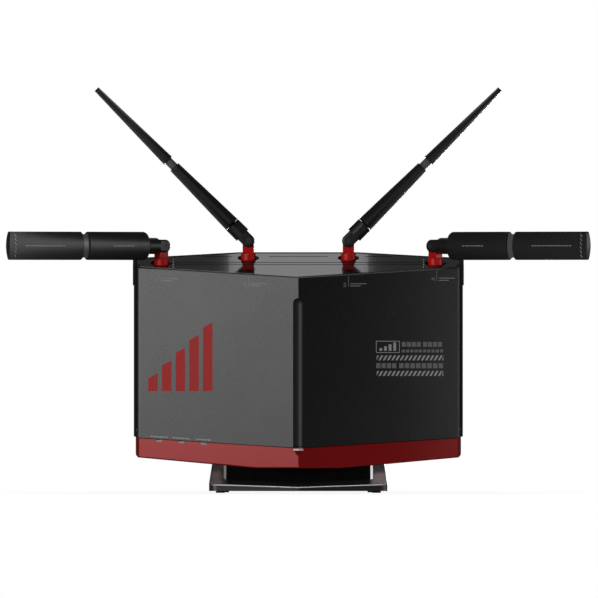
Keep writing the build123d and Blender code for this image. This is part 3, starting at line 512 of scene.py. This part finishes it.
class ROUTER_OT_inside(bpy.types.Operator):
    """Gives the boards, ports, controls and fasteners their finishes"""

    bl_idname = "router.inside"
    bl_label = "Ports and inside"

    def execute(self, context):
        depth = 0.04 * MM
        along_x, along_z = (0.05, 1.0, 1.0), (1.0, 1.0, 0.05)
        board = moulded("board_resist", (0.012, 0.07, 0.03, 1.0), 0.4, 500.0, depth)
        steel = metal("plated_steel", (0.62, 0.62, 0.60, 1.0), 0.25, along_x)
        sink = metal("sink_aluminium", (0.70, 0.70, 0.71, 1.0), 0.30, along_z)
        black = moulded("port_black", (0.014, 0.014, 0.014, 1.0), 0.40, 1200.0, depth)
        blue = moulded("internet_blue", (0.02, 0.07, 0.30, 1.0), 0.38, 1200.0, depth)
        grey = moulded("button_grey", (0.05, 0.05, 0.052, 1.0), 0.40, 1400.0, depth)
        zinc = metal("black_zinc", (0.12, 0.12, 0.125, 1.0), 0.38)
        gilt = metal("gilt_brass", (0.75, 0.55, 0.22, 1.0), 0.25)
        dress(board, "main_board", "light_board")
        dress(steel, "shield_cans", "usb_port")
        dress(sink, "heat_sink")
        dress(black, "lan_jacks", "dc_jack", "button_switches", "antenna_leads")
        dress(blue, "internet_jack")
        dress(grey, "power_button", "pairing_button", "reset_button", "mode_switch")
        dress(zinc, "housing_screws", "board_screws", "stand_screws")
        dress(gilt, "coax_plugs")
        return {"FINISHED"}


class ROUTER_OT_emblem(bpy.types.Operator):
    """Prints a rising row of signal bars on the left of the front"""

    bl_idname = "router.emblem"
    bl_label = "Signal bars"

    def execute(self, context):
        left, low, count, pitch, width = -136.0 * MM, 92.0 * MM, 5, 12.4 * MM, 8.6 * MM
        shortest, tallest, slant = 14.0 * MM, 60.0 * MM, 2.4 * MM
        heights = np.linspace(shortest, tallest, count)
        middles = left + width / 2 + pitch * np.arange(count)
        quads = boxes(np.stack([middles, low + heights / 2], -1), width, heights)
        quads[:, 2, 1] += slant
        quads[:, 3, 1] -= slant
        ink = printed("emblem_ink", colours().emblem, specular_ior_level=0.12)
        front_print("emblem_bars", quads, ink)
        return {"FINISHED"}


# The striped panel, in millimetres; a row of blocks has its left edge, the height of its
# middle, a block's width and height, the pitch and the count
PANEL_LEFT, PANEL_RIGHT = 70.6, 131.4
BLOCK_ROWS = (
    (93.7, 134.4, 3.7, 4.4, 4.5, 4),
    (112.9, 134.4, 3.7, 4.4, 4.5, 4),
    (93.7, 128.4, 2.9, 2.6, 3.85, 10),
    (70.6, 115.1, 3.9, 4.6, 4.75, 4),
    (91.3, 115.1, 4.1, 4.6, 5.1, 8),
)


class ROUTER_OT_rating_panel(bpy.types.Operator):
    """Prints a boxed mark, rows of plain blocks and two rows of slanted stripes on the front"""

    bl_idname = "router.rating_panel"
    bl_label = "Striped panel"

    def execute(self, context):
        grey = colours().print_grey
        quads = np.concatenate([self.box(), self.stripes()])
        front_print("striped_panel", quads * MM, printed("grey_ink", grey))
        blocks = np.concatenate([block_row(*row) for row in BLOCK_ROWS])
        front_print("block_rows", blocks * MM, printed("faint_ink", shade(grey, 0.42)))
        return {"FINISHED"}

    def box(self):
        """An outlined box with four rising bars in it, in millimetres."""
        left, right, low, high, line = PANEL_LEFT, PANEL_LEFT + 20.9, 127.0, 137.3, 0.55
        middle_x, middle_z = (left + right) / 2, (low + high) / 2
        width, height = right - left, high - low
        outline = boxes(
            [(middle_x, high), (middle_x, low), (left, middle_z), (right, middle_z)],
            np.array([width + line, width + line, line, line]),
            np.array([line, line, height - line, height - line]),
        )
        steps = np.arange(4)
        tall = 2.4 + 1.7 * steps
        places = np.stack([left + 4.1 + 4.2 * steps, low + 1.6 + tall / 2], -1)
        return np.concatenate([outline, boxes(places, 2.5, tall)])

    def stripes(self):
        """Two rows of stripes that lean to the right, cut off at both ends, in millimetres."""
        count, pitch, width, height, lean = 17, 3.85, 1.9, 4.5, 2.6
        overhang, narrowest = 1.0, 1.0
        starts = PANEL_LEFT - overhang + pitch * np.arange(count)
        rows = [
            boxes(np.stack([starts, np.full(count, middle)], -1), width, height, lean)
            for middle in (122.2, 108.1)
        ]
        quads = np.concatenate(rows)
        quads[..., 0] = np.clip(quads[..., 0], PANEL_LEFT, PANEL_RIGHT)
        return quads[np.ptp(quads[..., 0], axis=1) > narrowest]


class ROUTER_OT_antenna_marks(bpy.types.Operator):
    """Prints a tick, a plain number and two short bars below each antenna"""

    bl_idname = "router.antenna_marks"
    bl_label = "Antenna numbers"

    def execute(self, context):
        ticks_x = np.array([-125.3, -45.3, 45.3, 125.3]) * MM
        tick_width, tick_height = 0.4 * MM, 9.6 * MM
        digit_width, digit_height, stroke = 1.8 * MM, 3.2 * MM, 0.5 * MM
        bar_widths, bar_height = np.array([14.8, 9.2]) * MM, 0.8 * MM
        quads = []
        for number, x in enumerate(ticks_x, 1):
            edge = edge_height(RIDGE_TOP, x)
            corner = (x - 4.2 * MM, edge - 11.0 * MM)
            bars = [(x + 9.2 * MM, edge - 8.4 * MM), (x + 6.4 * MM, edge - 10.4 * MM)]
            quads += [
                boxes([(x, edge - 6.2 * MM)], tick_width, tick_height),
                digit_quads(number, corner, digit_width, digit_height, stroke),
                boxes(bars, bar_widths, bar_height),
            ]
        ink = printed("antenna_mark_ink", shade(colours().print_grey, 0.6))
        front_print("antenna_numbers", np.concatenate(quads), ink)
        return {"FINISHED"}


class ROUTER_OT_top_glints(bpy.types.Operator):
    """Paints a short dotted line of bright dots on the top, beside each outer antenna: painted
    glints at the ends of the vent slits
    """

    bl_idname = "router.top_marks"
    bl_label = "Top marks"

    def execute(self, context):
        count, first, pitch, aside = 4, -6.0 * MM, 7.5 * MM, 113.4 * MM
        width, length = 0.7 * MM, 3.2 * MM
        depths = first + pitch * np.arange(count)
        dots = [np.stack([np.full(count, x), depths], -1) for x in (-aside, aside)]
        quads = boxes(np.concatenate(dots), width, length)
        # Painted highlight: the dots are the print grey doubled, standing in for light caught at
        # the slit ends
        ink = printed("top_glint_ink", shade(colours().print_grey, 2.0))
        plates("top_painted_glints", quads, top_surface, ink, "body")
        return {"FINISHED"}


class ROUTER_OT_light_marks(bpy.types.Operator):
    """Prints a short row of plain blocks above each status window"""

    bl_idname = "router.light_marks"
    bl_label = "Light marks"

    def execute(self, context):
        over_seam, width, height, pitch = 2.3 * MM, 2.1 * MM, 1.1 * MM, 2.7 * MM
        rows = [
            block_row(x * MM - pitch * count / 2, over_seam, width, height, pitch, count)
            for x, count in ((-125.9, 6), (-105.85, 6), (-85.8, 5))
        ]
        quads = np.concatenate(rows)
        quads[..., 1] += edge_height(RIDGE_SEAM, quads[..., 0])
        front_print("light_marks", quads, printed("light_mark_ink", colours().print_grey))
        return {"FINISHED"}


# Each antenna at rest: heading, fold and twist in degrees
ANTENNA_TURNS = {
    "outer_left": (-135.0, 90.0, 90.0),
    "inner_left": (180.0, 45.0, 0.0),
    "inner_right": (0.0, 45.0, 0.0),
    "outer_right": (-45.0, 90.0, 90.0),
}
BLADE_HALF, BLADE_EDGE = 12.8 * MM, 1.5 * MM
LOWER_START, LOWER_END, UPPER_START, BLADE_END = 20.8 * MM, 94.8 * MM, 102.8 * MM, 194.7 * MM
ROOT_CROWN, MIDDLE_CROWN, TIP_CROWN = 7.2 * MM, 5.1 * MM, 2.5 * MM


def turn(axis, degrees):
    """A rotation matrix about an axis by degrees."""
    c, s = np.cos(np.radians(degrees)), np.sin(np.radians(degrees))
    first, second = [(1, 2), (2, 0), (0, 1)][axis]
    matrix = np.eye(3)
    matrix[[first, second], [first, second]] = c
    matrix[first, second], matrix[second, first] = -s, s
    return matrix


def blade_surface(name, face):
    """The crowned face of one antenna's blade: the first coordinate runs along the blade
    from its pivot, the second across it, and the height over the middle plane is a circle's
    arc from the edge through the crown."""
    pivot = np.array(next(j for j in frame["joints"] if j["name"] == f"{name}_fold")["pos_m"])
    heading, fold, twist = ANTENNA_TURNS[name]
    matrix = turn(AXIS_Z, heading) @ turn(AXIS_Y, fold) @ turn(AXIS_Z, twist)

    def surface(flat, lift):
        along, across = flat[..., 0], flat[..., 1]
        lower = np.interp(along, [LOWER_START, LOWER_END], [ROOT_CROWN, MIDDLE_CROWN])
        upper = np.interp(along, [UPPER_START, BLADE_END], [MIDDLE_CROWN, TIP_CROWN])
        rise = np.where(along < UPPER_START, lower, upper) - BLADE_EDGE
        radius = (BLADE_HALF**2 + rise**2) / (2 * rise)
        height = BLADE_EDGE + np.sqrt(radius**2 - across**2) - (radius - rise) + lift
        local = np.stack([face * height, face * across, along], -1)
        return local @ matrix.T + pivot

    return surface


class ROUTER_OT_blade_marks(bpy.types.Operator):
    """Prints a row of slanted ticks near each blade's tip and a dashed line on both its halves"""

    bl_idname = "router.blade_marks"
    bl_label = "Blade marks"

    def execute(self, context):
        ink = printed("blade_ink", colours().print_grey)
        quads, grid = np.concatenate([self.ticks(), *self.dashes()]), (9, 9)
        for name in SIDES:
            for face, side in ((1, "front"), (-1, "back")):
                surface, label = blade_surface(name, face), f"{name}_{side}_marks"
                plates(label, quads, surface, ink, f"{name}_blade", grid)
        return {"FINISHED"}

    def ticks(self):
        """A row of slanted ticks across the blade."""
        count, pitch, place = 6, 3.7 * MM, 186.4 * MM
        width, height, lean = 0.9 * MM, 2.6 * MM, 1.9 * MM
        across = (np.arange(count) - (count - 1) / 2) * pitch
        return boxes(np.stack([np.full(count, place), across], -1), width, height, lean)

    def dashes(self):
        """A dashed line along the middle of the upper half, and one on the lower half."""
        width, height, pitch = 2.3 * MM, 0.8 * MM, 3.3 * MM
        lines = ((126.85 * MM, 15), (40.85 * MM, 8))
        return [block_row(start, 0.0, width, height, pitch, count) for start, count in lines]


# The sockets' middles, and plain bars at the back, seen from behind: place, width and height
LAN_X = (-21.0 + 16.0 * np.arange(4)) * MM
INTERNET_X = -41.0 * MM
BACK_BARS = np.array([
    (-45.5, 94.6, 6.0, 0.9),
    (41.0, 95.6, 13.0, 0.9),
    (41.0, 93.8, 9.0, 0.9),
    (-18.0, 115.4, 6.4, 0.9),
    (-31.0, 115.4, 3.0, 0.9),
    (7.0, 114.0, 0.6, 1.8),
    (10.0, 114.0, 0.6, 1.8),
    (13.0, 114.0, 0.6, 1.8),
    (38.0, 115.4, 10.0, 0.9),
]) * MM


class ROUTER_OT_back_marks(bpy.types.Operator):
    """Prints numbers over the network sockets and plain marks by the other ports and buttons"""

    bl_idname = "router.back_marks"
    bl_label = "Back marks"

    def execute(self, context):
        low, width, height, stroke = 92.9 * MM, 2.2 * MM, 3.4 * MM, 0.55 * MM
        numbers = [
            digit_quads(number, (-x - width / 2, low), width, height, stroke)
            for number, x in enumerate(LAN_X, 1)
        ]
        bars = boxes(BACK_BARS[:, :2], BACK_BARS[:, 2], BACK_BARS[:, 3])
        quads = np.concatenate([*numbers, bars, self.power_sign()])
        ink = printed("back_ink", colours().print_grey)
        plates("back_marks", quads, rear_surface, ink, "body")
        return {"FINISHED"}

    def power_sign(self):
        """A ring with a gap at its top and a bar in the gap, over the power button."""
        middle = np.array([-43.0, 116.0]) * MM
        angles = np.radians(np.linspace(125, 415, 25))
        inner, outer = (
            np.stack([radius * np.cos(angles), radius * np.sin(angles)], -1) * MM
            for radius in (1.45, 1.95)
        )
        ring = np.stack([inner[:-1], outer[:-1], outer[1:], inner[1:]], 1)
        bar = boxes([(0.0, 1.6 * MM)], 0.5 * MM, 1.8 * MM)
        return np.concatenate([ring, bar]) + middle


def contact_surface(flat, lift):
    """Contacts that lean down from a socket's roof towards its back: the first coordinate runs
    across, the second inwards, and the height falls with it."""
    mouth, roof, fall = 31.0 * MM, 87.4 * MM, 0.42
    across, inwards = flat[..., 0], flat[..., 1]
    return np.stack([across, mouth - inwards, roof - fall * inwards + lift], -1)


class ROUTER_OT_contacts(bpy.types.Operator):
    """Adds the gilt spring contacts inside the network sockets"""

    bl_idname = "router.contacts"
    bl_label = "Socket contacts"

    def execute(self, context):
        count, pitch, width = 8, 1.02 * MM, 0.45 * MM
        middle, length = 2.9 * MM, 5.6 * MM
        wires = (np.arange(count) - (count - 1) / 2) * pitch
        x = np.add.outer([*LAN_X, INTERNET_X], wires).ravel()
        quads = boxes(np.stack([x, np.full(len(x), middle)], -1), width, length)
        gilt = metal("contact_gilt", (0.80, 0.58, 0.22, 1.0), 0.22, (1.0, 0.1, 1.0))
        plates("socket_contacts", quads, contact_surface, gilt, "body")
        return {"FINISHED"}


# Lamps: name, place and size in metres, power in watts
LAMPS = (
    ("key", (-2.00, -2.45, 0.75), (2.3, 1.5), 62.0),
    ("rim", (2.6, -0.25, 0.45), (1.2, 1.0), 18.0),
    ("over", (0.1, -0.30, 2.4), (1.8, 1.2), 16.0),
    ("low", (0.385, -0.36, 0.14), (0.20, 0.30), 0.16),
    ("top", (0.0, 0.62, 0.60), (0.13, 0.24), 0.060),
    ("sheen", (0.0, 2.2, 1.70), (1.8, 0.9), 0.28),
    ("back", (0.60, 2.95, 0.20), (1.4, 0.34), 60.0),
)


class ROUTER_OT_stage(bpy.types.Operator):
    """Sets a pale floor, soft studio light and the camera"""

    bl_idname = "router.stage"
    bl_label = "Stage"

    def execute(self, context):
        scene = context.scene
        scene.view_settings.view_transform = "Standard"
        self.floor(scene)
        self.sky(scene)
        for name, place, size, power in LAMPS:
            self.lamp(scene, name, place, size, power)
        self.camera(scene)
        return {"FINISHED"}

    def floor(self, scene):
        """A wide pale disc that keeps a faint shadow and throws little light back."""
        sectors, drop = 96, 0.05 * MM
        angles = np.linspace(0, 2 * np.pi, sectors, endpoint=False)
        radii = np.array([0.02, 0.5, 1.2, 3.0, 60.0])[:, None]
        disc = np.stack([radii * np.cos(angles), radii * np.sin(angles), 0 * radii * angles], -1)
        index = np.arange(len(radii) * sectors).reshape(-1, sectors)
        after = np.roll(index, -1, 1)
        faces = np.stack([index[:-1], index[1:], after[1:], after[:-1]], -1).reshape(-1, 4)
        faces = [*faces.tolist(), index[0].tolist()]
        mesh = bpy.data.meshes.new("floor")
        mesh.from_pydata(disc.reshape(-1, 3).tolist(), [], faces)
        mesh.materials.append(self.pale().material)
        floor = bpy.data.objects.new("floor", mesh)
        floor.location.z = -drop
        scene.collection.objects.link(floor)

    def pale(self):
        """White to the camera but for a trace of shadow round the foot, and grey to all else."""
        near, far, shadow = 0.10, 0.36, 0.10
        finish = Finish("pale_floor", roughness=0.9, base_color=(0.5, 0.5, 0.5, 1.0))
        glow = finish.node("ShaderNodeEmission", {}, {"Color": (1, 1, 1, 1), "Strength": 1.0})
        seen = finish.node("ShaderNodeLightPath", out="Is Camera Ray")
        length = {"operation": "LENGTH"}
        spread = finish.node("ShaderNodeVectorMath", length, {0: finish.place()}, "Value")
        share = seen * (finish.ramp(spread, near, far) * shadow + (1 - shadow))
        body = Field(finish, finish.shader.outputs[0])
        mixed = finish.node("ShaderNodeMixShader", {}, {0: share, 1: body, 2: glow})
        finish.feed(finish.tree.nodes["Material Output"].inputs["Surface"], mixed)
        return finish

    def sky(self, scene):
        """White behind the object, and a dim grey room for light and reflections."""
        world = bpy.data.worlds.new("studio")
        world.use_nodes = True
        nodes, links = world.node_tree.nodes, world.node_tree.links
        room = nodes["Background"]
        room.inputs["Color"].default_value = (0.02, 0.02, 0.021, 1.0)
        white = nodes.new("ShaderNodeBackground")
        white.inputs["Color"].default_value = (1.0, 1.0, 1.0, 1.0)
        seen = nodes.new("ShaderNodeLightPath")
        mix = nodes.new("ShaderNodeMixShader")
        links.new(seen.outputs["Is Camera Ray"], mix.inputs[0])
        links.new(room.outputs[0], mix.inputs[1])
        links.new(white.outputs[0], mix.inputs[2])
        links.new(mix.outputs[0], nodes["World Output"].inputs["Surface"])
        scene.world = world

    def lamp(self, scene, name, place, size, power):
        """A soft rectangular lamp that faces the body's middle."""
        middle = Vector((0.0, 0.0, 0.16))
        light = bpy.data.lights.new(name, "AREA")
        light.shape = "RECTANGLE"
        light.size, light.size_y = size
        light.energy = power
        lamp = bpy.data.objects.new(name, light)
        lamp.location = place
        lamp.rotation_euler = (middle - lamp.location).to_track_quat("-Z", "Y").to_euler()
        lamp.visible_camera = False
        scene.collection.objects.link(lamp)

    def camera(self, scene):
        """A long lens straight in front, level with the middle of the picture."""
        aside, distance = 0.6 * MM, sizes().camera_distance
        lens = bpy.data.cameras.new("camera")
        lens.sensor_width = 36.0
        lens.lens = lens.sensor_width * distance / sizes().view_width
        lens.clip_end = 200.0
        camera = bpy.data.objects.new("camera", lens)
        camera.location = (aside, -distance, sizes().view_height)
        camera.rotation_euler = (np.pi / 2, 0.0, 0.0)
        scene.collection.objects.link(camera)
        scene.camera = camera


OPERATORS = (
    ROUTER_OT_case,
    ROUTER_OT_lights,
    ROUTER_OT_antennas,
    ROUTER_OT_inside,
    ROUTER_OT_emblem,
    ROUTER_OT_rating_panel,
    ROUTER_OT_antenna_marks,
    ROUTER_OT_top_glints,
    ROUTER_OT_light_marks,
    ROUTER_OT_blade_marks,
    ROUTER_OT_back_marks,
    ROUTER_OT_contacts,
    ROUTER_OT_stage,
)


class ROUTER_PT_panel(bpy.types.Panel):
    """Lists the router's finishing steps"""

    bl_label = "Router"
    bl_idname = "ROUTER_PT_panel"
    bl_space_type = "VIEW_3D"
    bl_region_type = "UI"
    bl_category = "Router"

    def draw(self, context):
        for operator in OPERATORS:
            self.layout.operator(operator.bl_idname)


CLASSES = (RouterColours, RouterSizes, *OPERATORS, ROUTER_PT_panel)


def register():
    """Adds the router's classes, and its colours and sizes to every scene."""
    for each in CLASSES:
        bpy.utils.register_class(each)
    bpy.types.Scene.router_colours = bpy.props.PointerProperty(type=RouterColours)
    bpy.types.Scene.router_sizes = bpy.props.PointerProperty(type=RouterSizes)


def unregister():
    """Takes away what register added."""
    del bpy.types.Scene.router_sizes
    del bpy.types.Scene.router_colours
    for each in reversed(CLASSES):
        bpy.utils.unregister_class(each)


def main():
    register()
    bpy.ops.router.case()
    bpy.ops.router.lights()
    bpy.ops.router.antennas()
    bpy.ops.router.inside()
    bpy.ops.router.emblem()
    bpy.ops.router.rating_panel()
    bpy.ops.router.antenna_marks()
    bpy.ops.router.top_marks()
    bpy.ops.router.light_marks()
    bpy.ops.router.blade_marks()
    bpy.ops.router.back_marks()
    bpy.ops.router.contacts()
    bpy.ops.router.stage()


if __name__ == "__main__":
    main()
